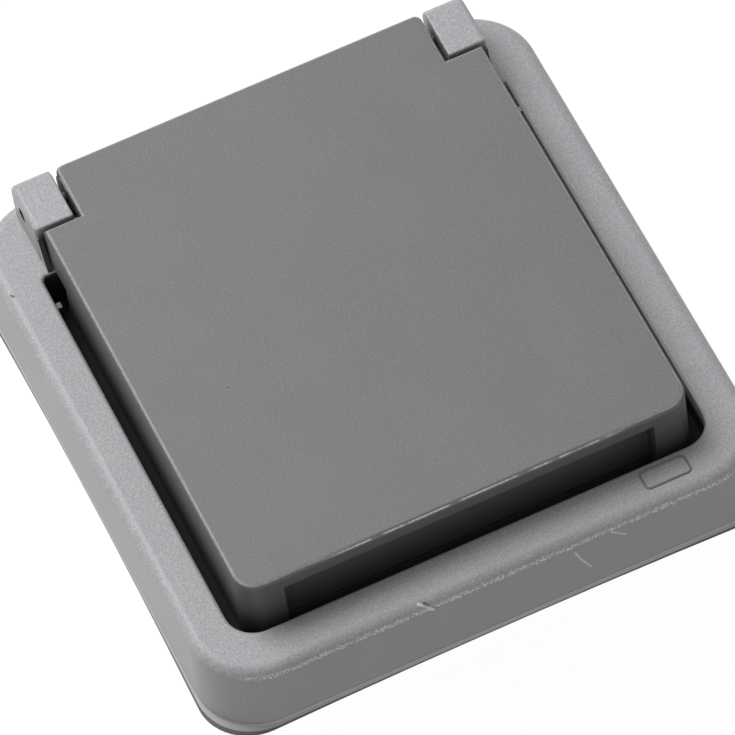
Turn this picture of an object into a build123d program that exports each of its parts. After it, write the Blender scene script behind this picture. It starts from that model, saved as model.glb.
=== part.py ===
from build123d import *
import os
from math import cos, radians, sin, sqrt

# Flush power socket with a hinged splash lid, lying face up.
# The origin is on the socket's axis in the face of the wall.
# X points right, Y towards the hinge and Z out of the wall. Lengths are in millimetres.

# Length by which a cutting shape runs past the face that it opens
overcut = 1.0

# Plug cup
plug_pin = 4.8
pin_spacing = 19.0
cup_radius = 19.5
cup_wall = 2.0
cup_depth = 17.5
cup_floor = 2.0
cup_rim_rise = 1.7
cup_rim_edge = 0.5
cup_hole_room = 0.5
flange_width = 3.5
flange_thickness = 1.5
pin_hole_room = 0.5
guide_depth = 1.9
guide_width = 4.8
guide_drop = 3.5
clip_slot_half = 4.3
clip_slot_room = 0.9
clip_slot_drop = 4.2
cup_outer = cup_radius + cup_wall
flange_radius = cup_outer + flange_width
pin_x = pin_spacing / 2

# Soft rings on both faces of the cup's flange
seal_margin = 0.2
cup_seal_width = 2.2
cup_seal_thickness = 0.8
lid_seal_width = 1.9
lid_seal_height = 2.35
lid_seal_gap = 0.15
seal_outer = flange_radius - seal_margin

# Lid, laid out round its soft ring
lid_rise = 7.25
lid_plate = 2.2
lid_wall = 2.0
lid_room_side = 5.2
lid_room_front = 2.3
lid_room_rear = 3.4
lid_skirt_gap = 1.2
lid_corner = 3.2
lid_edge = 0.6
lid_tongue_corner = 1.0
lid_notch_width = 5.3
notch_relief_depth = 0.6
notch_relief_height = 1.4
cheek_gap = 0.5
grip_end = 5.7
grip_drop = 2.55
grip_depth = 2.8
grip_edge = 0.35
lid_inner_half = seal_outer + lid_room_side
lid_half = lid_inner_half + lid_wall
lid_inner_front = seal_outer + lid_room_front
grip_back = lid_inner_front + lid_wall
lid_front = grip_back + grip_depth
lid_inner_rear = seal_outer + lid_room_rear
lid_skirt_rear = lid_inner_rear + lid_wall
lid_notch_half = lid_half - lid_notch_width
grip_half = lid_half - grip_end

# Well of the frame, round the lid
lid_gap_side = 2.0
lid_gap_front = 1.5
lid_gap_rear = 0.8
well_depth = 6.45
well_corner = 4.1
well_rear_corner = 0.8
well_wall = 2.0
well_edge = 0.5
floor_thickness = 2.2
nub_setback = 5.2
nub_width = 0.9
nub_reach = 0.7
nub_height = 3.0
nub_drop = 0.6
well_half = lid_half + lid_gap_side
well_front = lid_front + lid_gap_front
well_rear = lid_skirt_rear + lid_gap_rear

# Hinge behind the well
hinge_setback = 7.7
hinge_drop = 3.1
hinge_margin = 6.7
pin_radius = 0.9
pin_fit = 0.02
pin_recess = 0.8
knuckle_radius = 3.0
knuckle_running = 0.08
trough_room = 1.6
hinge_y = well_rear + hinge_setback
hinge_trough = knuckle_radius + trough_room
lid_rear = hinge_y + knuckle_radius

# Ears of the frame
ear_gap = 0.7
ear_overhang = 1.0
ear_lead = 5.4
ear_tail = 3.7
ear_front_gap = 0.45
ear_rear_round = 2.0
ear_front_round = 0.3
ear_side_round = 0.7
ear_inner_round = 0.3
ear_root = 1.4
gusset_lead = 2.0
gusset_rise = 5.2
gusset_hollow = 0.25
gusset_thickness = 0.7
gusset_step = 0.1
ear_inner = lid_notch_half + ear_gap
ear_outer = lid_half + ear_overhang
ear_front = hinge_y - ear_lead
ear_rear = hinge_y + ear_tail
gusset_front = ear_front - gusset_lead
lid_notch_front = ear_front - ear_front_gap

# Support ring
box_screw_spacing = 60.0
box_slot_width = 3.6
box_slot_length = 5.6
ring_edge = 5.5
ring_corner = 16.0
ring_thickness = 1.0
ring_hole_room = 1.0
leg_low = 18.0
leg_inner = 8.0
leg_outer = 14.0
rivet_drop = 15.0
rivet_radius = 1.2
rivet_fit = 0.05
rivet_length = 5.0
rivet_head_radius = 2.1
rivet_head = 0.9
ring_half = box_screw_spacing / 2 + ring_edge
ring_hole = cup_outer + ring_hole_room

# Cover frame, with a soft ring in its rim that lies round the support ring
frame_top = 11.45
frame_lift = 0.4
frame_wall = 2.6
frame_front_extra = 0.1
frame_draft = 1.3
frame_edge = 1.6
foot_height = 0.6
foot_inset = 0.5
rim_bow = 0.45
rim_corner = 7.3
foot_corner = 8.6
top_corner = 9.5
wall_seal_gap = 1.3
wall_seal_rebate = 1.0
wall_seal_width = 2.5
wall_seal_thickness = 1.6
wall_seal_room = 0.1
wall_seal_inset = frame_wall - wall_seal_rebate + wall_seal_room
frame_half = ring_half + wall_seal_gap + wall_seal_width + wall_seal_inset
frame_front = frame_half + frame_front_extra
frame_rear = hinge_y + hinge_margin

# Lid spring
spring_wire = 0.6
wire_sides = 6
spring_radius = 1.4
spring_pitch = 0.9
spring_whole_turns = 3
spring_last_turn = 270.0
spring_leg_rise = 16.0
spring_start = -17.0
spring_room = 0.35
spring_side_room = 1.6
spring_leg_gap = 0.1
spring_outer = spring_radius + spring_wire / 2
spring_turns = spring_whole_turns + (spring_last_turn + spring_leg_rise) / 360
spring_length = spring_pitch * spring_turns

# Contacts and terminals
sleeve_wall = 0.6
sleeve_fit = 0.05
sleeve_slit = 0.8
sleeve_drop = 0.5
strip = 0.8
tail_width = 4.0
cage_width = 7.2
cage_depth = 7.6
cage_height = 7.0
cage_wall = 1.2
cage_inner = 9.0
cage_room = 0.15
tail_room = 0.1
cage_sink = 2.1
wire_entry_x = 4.4
wire_entry_y = 4.2
terminal_screw_radius = 1.4
terminal_screw_fit = 0.05
terminal_head_radius = 2.2
terminal_head = 1.5
wire_gap = 1.5
screw_slot = 0.6
screw_slot_depth = 0.7
sleeve_inner = plug_pin / 2 + sleeve_fit
sleeve_outer = sleeve_inner + sleeve_wall

# Insulating base, under the cup and round the terminals
base_side_inset = 0.5
base_back = 28.5
base_corner = 4.0
base_edge = 0.6
chamber_room = 0.5
chamber_floor = 2.0
head_sink = 0.4
base_half_x = cup_outer - base_side_inset
base_half_y = cage_inner + cage_depth + terminal_head + head_sink
chamber_radius = sleeve_outer + chamber_room

# Earth bracket, with clips that stand in the cup's slots
earth_strip = 1.0
earth_half = 4.0
earth_room = 0.2
clip_inset = 0.8
clip_press = 1.6
clip_bend_low = 8.0
clip_bend_mid = 12.0
clip_height = 16.4
clip_y = cup_radius - clip_inset
clip_slot_inner = clip_y - clip_press - clip_slot_room

# Centre screw
centre_radius = 1.6
centre_fit = 0.05
centre_head_radius = 3.2
centre_head = 1.6
centre_length = 13.0
centre_tip_room = 1.0

# Spreading claws beside the legs of the ring
claw_gap = 2.2
claw_drop = 3.0
claw_half = 5.2
claw_strip = 1.2
claw_knuckle = 1.7
trunnion_radius = 1.0
trunnion_fit = 0.06
claw_leg = 16.5
claw_tooth_out = 3.0
claw_tooth_down = 2.5
claw_tab_drop = 0.9
claw_tab_reach = 7.0
claw_fork = 2.3
claw_slot_length = 5.2
lug_room = 0.3
lug_thickness = 1.0
lug_half = 1.8
claw_screw_out = 3.4
claw_screw_radius = 1.5
claw_screw_room = 0.2
claw_screw_length = 17.0
claw_head_radius = 2.7
claw_head = 1.5
claw_x = base_half_x + ring_thickness + claw_gap
claw_screw_x = claw_x + claw_screw_out
claw_z = -claw_drop

# Heights, from the frame's top down to the contacts
lid_top = frame_top + lid_rise
lid_under = lid_top - lid_plate
hinge_z = lid_top - hinge_drop
floor_top = frame_top - well_depth
floor_bottom = floor_top - floor_thickness
lid_skirt = floor_top + lid_skirt_gap
flange_bottom = floor_top + cup_seal_thickness
flange_top = flange_bottom + flange_thickness
lid_seal_low = flange_top + lid_seal_gap
lid_seal_top = lid_seal_low + lid_seal_height
cup_face = flange_top + cup_rim_rise
cup_inside = cup_face - cup_depth
clip_slot_top = cup_face - clip_slot_drop
base_top = cup_inside - cup_floor
sleeve_top = base_top - sleeve_drop
chamber_low = -base_back + chamber_floor
cage_top = base_top - cage_sink
cage_low = cage_top - cage_height
screw_z = (cage_top + cage_low) / 2
strap_top = base_top - earth_room
strap_low = strap_top - earth_strip


def block(x_low, x_high, y_low, y_high, z_low, z_high):
    """A box between two opposite corners."""
    box = Box(x_high - x_low, y_high - y_low, z_high - z_low, align=(Align.MIN, Align.MIN, Align.MIN))
    return Pos(x_low, y_low, z_low) * box


def slab(x_half, y_low, y_high, corner, z_low, z_high):
    """A slab with rounded corners, even about X = 0."""
    outline = RectangleRounded(2 * x_half, y_high - y_low, corner)
    return extrude(Pos(0, (y_low + y_high) / 2, z_low) * outline, z_high - z_low)


def post(radius, z_low, z_high, x=0, y=0):
    """A cylinder along Z."""
    cylinder = Cylinder(radius, z_high - z_low, align=(Align.CENTER, Align.CENTER, Align.MIN))
    return Pos(x, y, z_low) * cylinder


def tube(outer, inner, z_low, z_high):
    """A round ring on the socket's axis."""
    return post(outer, z_low, z_high) - post(inner, z_low, z_high)


def rod_x(radius, x_low, x_high, y, z):
    """A cylinder along X."""
    rod = Cylinder(radius, x_high - x_low, align=(Align.CENTER, Align.CENTER, Align.MIN))
    return Pos(x_low, y, z) * Rot(0, 90, 0) * rod


def rod_y(radius, y_low, y_high, x, z):
    """A cylinder along Y."""
    rod = Cylinder(radius, y_high - y_low, align=(Align.CENTER, Align.CENTER, Align.MIN))
    return Pos(x, y_low, z) * Rot(-90, 0, 0) * rod


def mirror_x(shape):
    """The same shape on the other side of the YZ plane."""
    return mirror(shape, about=Plane.YZ)


def mirror_y(shape):
    """The same shape on the other side of the XZ plane."""
    return mirror(shape, about=Plane.XZ)


def strip_face(points, thickness):
    """The side view of a bent strip: the line through the points, made as thick as the strip."""
    line = [Vector(*point) for point in points]
    runs = [(line[i + 1] - line[i]).normalized() for i in range(len(line) - 1)]
    sides = [Vector(-run.Y, run.X) for run in runs]
    offsets = [sides[0]]
    for before, after in zip(sides[:-1], sides[1:]):
        mitre = (before + after).normalized()
        offsets.append(mitre / mitre.dot(before))
    offsets.append(sides[-1])
    left = [point + offset * (thickness / 2) for point, offset in zip(line, offsets)]
    right = [point - offset * (thickness / 2) for point, offset in zip(line, offsets)]
    return make_face(Polyline(*left, *reversed(right), close=True))


def frame_outline(inset, corner, bow, height):
    """The frame's outline at one height, with sides that bow in between the corners."""
    x = frame_half - inset - corner
    front = -frame_front + inset + corner
    rear = frame_rear - inset - corner
    centres = [(x, front), (x, rear), (-x, rear), (-x, front)]
    arcs = [CenterArc(centre, corner, 90 * turn - 90, 90) for turn, centre in enumerate(centres)]
    edges = []
    for turn, arc in enumerate(arcs):
        start = arc @ 1
        end = arcs[(turn + 1) % len(arcs)] @ 0
        inward = Vector(-1, 0).rotate(Axis.Z, 90 * turn)
        middle = (start + end) / 2 + inward * bow
        side = ThreePointArc(start, middle, end) if bow else Line(start, end)
        edges += [arc, side]
    return Pos(0, 0, height) * make_face(edges)


def well_shape(wall, z_low, z_high):
    """The well, grown by a wall, with its small corners at the hinge side."""
    length = well_front + well_rear + 2 * wall
    middle = (well_rear - well_front) / 2
    outline = Pos(0, middle, z_low) * Rectangle(2 * (well_half + wall), length)
    outline = fillet(outline.vertices().group_by(Axis.Y)[0], well_corner + wall)
    outline = fillet(outline.vertices().group_by(Axis.Y)[-1], well_rear_corner + wall)
    return extrude(outline, z_high - z_low)


def ear():
    """The right hinge ear with the thin gusset at its outer side."""
    foot = frame_top - ear_root
    front = [(ear_front, foot), (ear_front, lid_top)]
    rear = [(ear_rear, lid_top), (ear_rear, foot)]
    side_view = make_face(Polyline(*front, *rear, close=True))
    top = side_view.vertices().group_by(Axis.Y)[-1].sort_by(Axis.X)
    side_view = fillet(top[0], ear_front_round)
    rear_top = side_view.vertices().sort_by_distance((ear_rear, lid_top))[0]
    side_view = fillet(rear_top, ear_rear_round)
    body = Pos(ear_inner, 0, 0) * extrude(Plane.YZ * side_view, ear_outer - ear_inner)
    outer_edges = body.faces().sort_by(Axis.X)[-1].edges()
    body = fillet(outer_edges.filter_by(lambda edge: edge.center().Z > foot + ear_root / 2), ear_side_round)
    inner_edges = body.faces().sort_by(Axis.X)[0].edges()
    body = fillet(inner_edges.filter_by(lambda edge: edge.center().Z > foot + ear_root / 2), ear_inner_round)
    gusset_top = frame_top + gusset_rise
    lean = ThreePointArc(
        (gusset_front, frame_top),
        ((gusset_front + ear_front) / 2 + gusset_hollow, frame_top + gusset_rise / 2),
        (ear_front, gusset_top),
    )
    inside = ear_front + ear_front_round
    rest = Polyline(
        (ear_front, gusset_top),
        (inside, gusset_top),
        (inside, foot),
        (gusset_front, foot),
        (gusset_front, frame_top),
    )
    gusset = extrude(Plane.YZ * make_face([lean] + rest.edges()), gusset_thickness)
    return body + Pos(ear_outer - gusset_step - gusset_thickness, 0, 0) * gusset


def cover_frame():
    """Frame moulding: drafted wall, well with a round opening, hollow back and two hinge ears."""
    rim = frame_outline(0, rim_corner, rim_bow, frame_lift)
    foot = frame_outline(foot_inset, foot_corner, 0, frame_lift + foot_height)
    crown = frame_outline(frame_draft, top_corner, 0, frame_top)
    body = loft([foot, crown], ruled=True)
    body = fillet(body.faces().sort_by(Axis.Z)[-1].edges(), frame_edge)
    body += loft([rim, foot], ruled=True)
    body -= well_shape(0, floor_top, frame_top + overcut)

    def round_the_well(edge):
        middle = edge.center()
        across = abs(middle.X) < well_half + well_edge
        along = -well_front - well_edge < middle.Y < well_rear + well_edge
        return across and along and abs(middle.Z - frame_top) < well_edge / 2

    body = fillet(body.edges().filter_by(round_the_well), well_edge)
    inner_half = frame_half - frame_wall
    inner_front = -frame_front + frame_wall
    inner_rear = frame_rear - frame_wall
    inner_corner = top_corner - frame_wall
    hollow = slab(inner_half, inner_front, inner_rear, inner_corner, -frame_lift, frame_top - frame_wall)
    body -= hollow - well_shape(well_wall, floor_bottom, frame_top)
    body -= slab(
        inner_half + wall_seal_rebate,
        inner_front - wall_seal_rebate,
        inner_rear + wall_seal_rebate,
        inner_corner + wall_seal_rebate,
        -frame_lift,
        wall_seal_thickness,
    )
    body -= post(cup_outer + cup_hole_room, 0, frame_top)
    nub_top = frame_top - nub_drop
    nub = block(
        well_half - nub_reach,
        well_half + well_wall / 2,
        well_rear - nub_setback,
        well_rear - nub_setback + nub_width,
        nub_top - nub_height,
        nub_top,
    )
    body += nub
    body += mirror_x(nub)
    right_ear = ear()
    body += right_ear
    body += mirror_x(right_ear)
    body -= rod_x(hinge_trough, -ear_inner, ear_inner, hinge_y, hinge_z)
    body -= rod_x(pin_radius + pin_fit, -frame_half, frame_half, hinge_y, hinge_z)
    return body


def wall_gasket():
    """Soft ring in the rebate behind the frame; it stands proud of the rim by the shadow gap."""
    half = frame_half - wall_seal_inset
    front = -frame_front + wall_seal_inset
    rear = frame_rear - wall_seal_inset
    corner = top_corner - wall_seal_inset
    outer = slab(half, front, rear, corner, 0, wall_seal_thickness)
    inner = slab(
        half - wall_seal_width,
        front + wall_seal_width,
        rear - wall_seal_width,
        corner - wall_seal_width,
        0,
        wall_seal_thickness,
    )
    return outer - inner


def hinged_lid():
    """Lid moulding: plate with a skirt, finger recess under the front lip, seal rib and hinge barrel.

    Behind the skirt two cheeks carry the sides on to the notches for the ears. The notches are relieved
    underneath, where they pass the ears as the lid swings.
    """
    body = slab(lid_half, -lid_front, lid_skirt_rear, lid_corner, lid_skirt, lid_top)
    body += block(-lid_half, lid_half, lid_skirt_rear - lid_corner, lid_notch_front, lid_under, lid_top)
    tongue_front = lid_notch_front - 2 * lid_tongue_corner
    body += slab(lid_notch_half, tongue_front, lid_rear, lid_tongue_corner, lid_under, lid_top)
    body = fillet(body.faces().sort_by(Axis.Z)[-1].edges(), lid_edge)
    skirt_cut = lid_skirt - overcut
    lip_low = lid_top - grip_drop
    body -= block(-grip_half, grip_half, -lid_front - overcut, -grip_back, skirt_cut, lip_low)
    lip_edge = body.edges().filter_by(Axis.X).sort_by_distance((0, -lid_front, lip_low))[0]
    body = fillet(lip_edge, grip_edge)
    relief_end = (lid_notch_front - notch_relief_depth, lid_under)
    relief_top = (lid_notch_front, lid_under + notch_relief_height)
    relief = make_face(Polyline(relief_end, relief_top, (lid_notch_front, lid_under), close=True))
    relief = Pos(lid_notch_half, 0, 0) * extrude(Plane.YZ * relief, lid_notch_width)
    body -= relief
    body -= mirror_x(relief)
    cheek_front = lid_skirt_rear - lid_corner
    cheek_rear = lid_notch_front - notch_relief_depth
    cheek = block(lid_inner_half, lid_half, cheek_front, cheek_rear, frame_top + cheek_gap, lid_under)
    body += cheek
    body += mirror_x(cheek)
    inner_corner = lid_corner - lid_wall
    body -= slab(lid_inner_half, -lid_inner_front, lid_inner_rear, inner_corner, skirt_cut, lid_under)
    body += tube(seal_outer, seal_outer - lid_seal_width, lid_seal_top, lid_under)
    body += rod_x(knuckle_radius, -lid_notch_half, lid_notch_half, hinge_y, hinge_z)
    body -= rod_x(pin_radius + knuckle_running, -lid_half, lid_half, hinge_y, hinge_z)
    slot_low = spring_start - spring_side_room
    slot_high = spring_start + spring_length + spring_side_room
    slot_radius = spring_outer + spring_room
    body -= rod_x(slot_radius, slot_low, slot_high, hinge_y, hinge_z)
    barrel_front = hinge_y - knuckle_radius
    barrel_rear = hinge_y + knuckle_radius
    body -= block(slot_low, slot_high, barrel_front, barrel_rear, hinge_z - knuckle_radius, hinge_z)
    return body


def lid_gasket():
    """Soft ring on the lid's rib, which closes on the cup's flange."""
    return tube(seal_outer, seal_outer - lid_seal_width, lid_seal_low, lid_seal_top)


def hinge_pin():
    """Steel axle pressed through both ears; the lid turns on it."""
    reach = ear_outer - pin_recess
    return rod_x(pin_radius, -reach, reach, hinge_y, hinge_z)


def lid_spring():
    """Torsion spring round the axle: one leg stands on the frame, the other lifts to the lid's plate."""
    helix = Helix(spring_pitch, spring_length, spring_radius, lefthand=True)
    wire = RegularPolygon(spring_wire / 2, wire_sides)
    coil = sweep(Plane(origin=helix @ 0, z_dir=helix % 0) * wire, path=helix)
    trough_drop = sqrt(hinge_trough**2 - spring_radius**2)
    frame_leg = extrude(Plane(origin=helix @ 0, z_dir=-(helix % 0)) * wire, trough_drop - spring_leg_gap)
    leg_start = hinge_z - spring_radius * cos(radians(spring_leg_rise))
    leg_lift = lid_under - spring_wire / 2 - spring_leg_gap - leg_start
    leg_length = leg_lift / sin(radians(spring_leg_rise))
    lid_leg = extrude(Plane(origin=helix @ 1, z_dir=helix % 1) * wire, leg_length)
    axle = Plane(origin=(spring_start, hinge_y, hinge_z), x_dir=(0, -1, 0), z_dir=(1, 0, 0))
    return axle * (coil + frame_leg + lid_leg)


def screw_head(room):
    """Countersunk head of the centre screw, flush with the cup's inside floor, grown by the room."""
    narrow = centre_radius + room
    wide = centre_head_radius + room
    cone = Cone(narrow, wide, centre_head, align=(Align.CENTER, Align.CENTER, Align.MAX))
    return Pos(0, 0, cup_inside) * cone


def socket_cup():
    """Round plug well with flange, pin holes, guide ribs and slots for the earth clips."""
    body = post(cup_outer, base_top, cup_face) + post(flange_radius, flange_bottom, flange_top)
    body -= post(cup_radius, cup_inside, cup_face + overcut)
    body = chamfer(body.faces().sort_by(Axis.Z)[-1].edges(), cup_rim_edge)
    guide = block(
        cup_radius - guide_depth,
        cup_outer - cup_wall / 2,
        -guide_width / 2,
        guide_width / 2,
        cup_inside,
        cup_face - guide_drop,
    )
    body += guide
    body += mirror_x(guide)
    slot_outer = cup_outer + overcut
    floor_cut = base_top - overcut
    slot = block(-clip_slot_half, clip_slot_half, clip_slot_inner, slot_outer, floor_cut, clip_slot_top)
    body -= slot
    body -= mirror_y(slot)
    for x in (-pin_x, pin_x):
        body -= post(plug_pin / 2 + pin_hole_room, floor_cut, cup_inside + overcut, x)
    body -= post(centre_radius + centre_fit, floor_cut, cup_inside + overcut)
    return body - screw_head(centre_fit)


def cup_gasket():
    """Soft ring between the cup's flange and the frame's floor."""
    return tube(seal_outer, seal_outer - cup_seal_width, floor_top, flange_bottom)


def centre_screw():
    """Countersunk screw that draws cup and frame down on the insert."""
    body = screw_head(0) + post(centre_radius, cup_inside - centre_length, cup_inside - centre_head)
    reach = centre_head_radius
    half = screw_slot / 2
    return body - block(-reach, reach, -half, half, cup_inside - screw_slot_depth, cup_inside + overcut)


def support_ring():
    """Stamped steel ring: box-screw slots, legs riveted to the base and lugs for the claws."""
    body = slab(ring_half, -ring_half, ring_half, ring_corner, 0, ring_thickness)
    body -= post(ring_hole, -overcut, ring_thickness + overcut)
    box_slot = SlotOverall(box_slot_length, box_slot_width, rotation=90)
    for y in (-box_screw_spacing / 2, box_screw_spacing / 2):
        body -= extrude(Pos(0, y, -overcut) * box_slot, ring_thickness + 2 * overcut)
    leg_face = base_half_x + ring_thickness
    leg = block(base_half_x, leg_face, leg_inner, leg_outer, -leg_low, ring_thickness / 2)
    hole_y = (leg_inner + leg_outer) / 2
    leg -= rod_x(rivet_radius + rivet_fit, base_half_x - overcut, leg_face + overcut, hole_y, -rivet_drop)
    inner = claw_half + lug_room
    outer = inner + lug_thickness
    lug = block(claw_x - lug_half, claw_x + lug_half, inner, outer, claw_z, ring_thickness / 2)
    lug += rod_y(lug_half, inner, outer, claw_x, claw_z)
    lug -= rod_y(trunnion_radius + trunnion_fit, inner - overcut, outer + overcut, claw_x, claw_z)
    quarter = leg + lug
    half = quarter + mirror_y(quarter)
    hole_radius = claw_screw_radius + claw_screw_room
    screw_hole = post(hole_radius, -overcut, ring_thickness + overcut, claw_screw_x)
    body = body + half + mirror_x(half)
    return body - screw_hole - mirror_x(screw_hole)


def ring_rivets():
    """Four rivets through the ring's legs into the base."""
    y = (leg_inner + leg_outer) / 2
    outside = base_half_x + ring_thickness
    shank = rod_x(rivet_radius, outside - rivet_length, outside, y, -rivet_drop)
    rivet = shank + rod_x(rivet_head_radius, outside, outside + rivet_head, y, -rivet_drop)
    pair = [rivet, mirror_y(rivet)]
    return pair + [mirror_x(one) for one in pair]


def cage_pocket(x, floor):
    """Room for one terminal cage, open to the side where its screw is turned."""
    half = cage_width / 2 + cage_room
    side = base_half_y + overcut
    return block(x - half, x + half, cage_inner - cage_room, side, floor, base_top + overcut)


def wire_entry(x):
    """Opening for the wire from the back of the base up into the cage."""
    y = cage_inner + cage_wall + strip + tail_room * 2
    half = wire_entry_x / 2
    return block(x - half, x + half, y, y + wire_entry_y, -base_back - overcut, cage_low)


def socket_base():
    """Insulating block with the contact chambers, terminal pockets and the earth strap's channel."""
    body = slab(base_half_x, -base_half_y, base_half_y, base_corner, -base_back, base_top)
    body = chamfer(body.faces().sort_by(Axis.Z)[0].edges(), base_edge)
    tail_floor = cage_low - strip
    top = base_top + overcut
    for x in (-pin_x, pin_x):
        body -= post(chamber_radius, chamber_low, top, x)
        body -= cage_pocket(x, tail_floor)
        half = tail_width / 2 + tail_room
        body -= block(x - half, x + half, 0, cage_inner, tail_floor, top)
        body -= wire_entry(x)
    body -= mirror_y(cage_pocket(0, cage_low))
    body -= mirror_y(wire_entry(0))
    channel = earth_half + earth_room
    channel_end = base_half_y + overcut
    body -= block(-channel, channel, -channel_end, channel_end, strap_low, top)
    body -= post(centre_radius + centre_fit, cup_inside - centre_length - centre_tip_room, base_top)
    hole_y = (leg_inner + leg_outer) / 2
    depth = rivet_length - ring_thickness
    for y in (-hole_y, hole_y):
        hole = rod_x(rivet_radius + rivet_fit, base_half_x - depth, base_half_x + overcut, y, -rivet_drop)
        body -= hole
        body -= mirror_x(hole)
    return body


def pole_contact(x):
    """Slit bronze sleeve for one plug pin, with a tail that runs into the terminal cage."""
    sleeve = tube(sleeve_outer, sleeve_inner, chamber_low, sleeve_top)
    half = sleeve_slit / 2
    sleeve -= block(-half, half, -sleeve_outer - overcut, 0, chamber_low, sleeve_top)
    tail_y = cage_inner + cage_wall + tail_room + strip / 2
    tail_z = cage_low - strip / 2
    start = sqrt(sleeve_outer**2 - (tail_width / 2) ** 2) - sleeve_wall / 2
    side_view = strip_face([(start, tail_z), (tail_y, tail_z), (tail_y, cage_top)], strip)
    tail = Pos(-tail_width / 2, 0, 0) * extrude(Plane.YZ * side_view, tail_width)
    tail -= post(sleeve_inner, chamber_low, sleeve_top)
    return Pos(x, 0, 0) * (sleeve + tail)


def terminal_cage(x):
    """Brass cage that a screw clamps on the wire."""
    half = cage_width / 2
    body = block(x - half, x + half, cage_inner, cage_inner + cage_depth, cage_low, cage_top)
    inside = half - cage_wall
    far = cage_inner + cage_depth - cage_wall
    near = cage_inner + cage_wall
    body -= block(x - inside, x + inside, near, far, cage_low - overcut, cage_top + overcut)
    hole_end = far + cage_wall + overcut
    return body - rod_y(terminal_screw_radius + terminal_screw_fit, near, hole_end, x, screw_z)


def terminal_screw(x):
    """Slotted cheese-head screw of one cage."""
    tip = cage_inner + cage_wall + tail_room + strip + wire_gap
    seat = cage_inner + cage_depth
    body = rod_y(terminal_screw_radius, tip, seat, x, screw_z)
    body += rod_y(terminal_head_radius, seat, seat + terminal_head, x, screw_z)
    half = screw_slot / 2
    reach = terminal_head_radius
    end = seat + terminal_head
    slot_floor = end - screw_slot_depth
    return body - block(x - reach, x + reach, slot_floor, end + overcut, screw_z - half, screw_z + half)


def earth_bracket():
    """Bent strip under the cup: a spring clip at each end and a tail into the earth cage."""
    level = (strap_top + strap_low) / 2
    clip = [
        (0, level),
        (clip_y, level),
        (clip_y, level + clip_bend_low),
        (clip_y - clip_press, level + clip_bend_mid),
        (clip_y, level + clip_height),
    ]
    side_view = strip_face(clip, earth_strip)
    arm = Pos(-earth_half, 0, 0) * extrude(Plane.YZ * side_view, 2 * earth_half)
    tail_y = cage_inner + cage_wall + tail_room
    tail = block(-tail_width / 2, tail_width / 2, -tail_y - strip, -tail_y, cage_low, strap_low)
    body = arm + mirror_y(arm) + tail
    return body - post(centre_radius + centre_fit, strap_low - overcut, strap_top + overcut)


def right_claw():
    """Forked claw on two trunnions; its screw draws the tab up and the teeth swing out."""
    leg_end = claw_z - claw_leg
    tooth = (claw_x + claw_tooth_out, leg_end - claw_tooth_down)
    tab_z = claw_z - claw_tab_drop
    side_view = Pos(claw_x, claw_z) * Circle(claw_knuckle)
    side_view += strip_face([(claw_x, claw_z), (claw_x, leg_end), tooth], claw_strip)
    side_view += strip_face([(claw_x, tab_z), (claw_x + claw_tab_reach, tab_z)], claw_strip)
    body = extrude(Plane.XZ * side_view, claw_half, both=True)
    knuckle_low = claw_z - claw_knuckle
    body -= block(0, frame_half, -claw_fork, claw_fork, -base_back, knuckle_low - claw_strip)
    slot = SlotOverall(claw_slot_length, 2 * (claw_screw_radius + claw_screw_room))
    body -= extrude(Pos(claw_screw_x, 0, knuckle_low) * slot, 2 * claw_knuckle)
    reach = claw_half + lug_room + lug_thickness
    trunnion = rod_y(trunnion_radius, claw_fork, reach, claw_x, claw_z)
    return body + trunnion + mirror_y(trunnion)


def claw_screw():
    """Slotted screw through the ring and the claw's tab."""
    body = post(claw_screw_radius, -claw_screw_length, ring_thickness, claw_screw_x)
    body += post(claw_head_radius, ring_thickness, ring_thickness + claw_head, claw_screw_x)
    top = ring_thickness + claw_head
    half = screw_slot / 2
    reach = claw_head_radius
    slot_floor = top - screw_slot_depth
    return body - block(claw_screw_x - reach, claw_screw_x + reach, -half, half, slot_floor, top + overcut)


def parts():
    """Every piece of the socket under the name of its file."""
    claw = right_claw()
    screw = claw_screw()
    return {
        "cover_frame": cover_frame(),
        "wall_gasket": wall_gasket(),
        "hinged_lid": hinged_lid(),
        "lid_gasket": lid_gasket(),
        "hinge_pin": hinge_pin(),
        "lid_spring": lid_spring(),
        "socket_cup": socket_cup(),
        "cup_gasket": cup_gasket(),
        "centre_screw": centre_screw(),
        "support_ring": support_ring(),
        "ring_rivets": Compound(children=ring_rivets()),
        "socket_base": socket_base(),
        "live_contact": pole_contact(-pin_x),
        "neutral_contact": pole_contact(pin_x),
        "earth_bracket": earth_bracket(),
        "live_cage": terminal_cage(-pin_x),
        "neutral_cage": terminal_cage(pin_x),
        "earth_cage": mirror_y(terminal_cage(0)),
        "terminal_screws": Compound(
            children=[terminal_screw(-pin_x), terminal_screw(pin_x), mirror_y(terminal_screw(0))]
        ),
        "right_claw": claw,
        "left_claw": mirror_x(claw),
        "claw_screws": Compound(children=[screw, mirror_x(screw)]),
    }


os.makedirs("parts", exist_ok=True)
for name, piece in parts().items():
    export_step(piece, f"parts/{name}.step")
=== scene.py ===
import math

import bpy
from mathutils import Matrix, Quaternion, Vector


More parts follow.
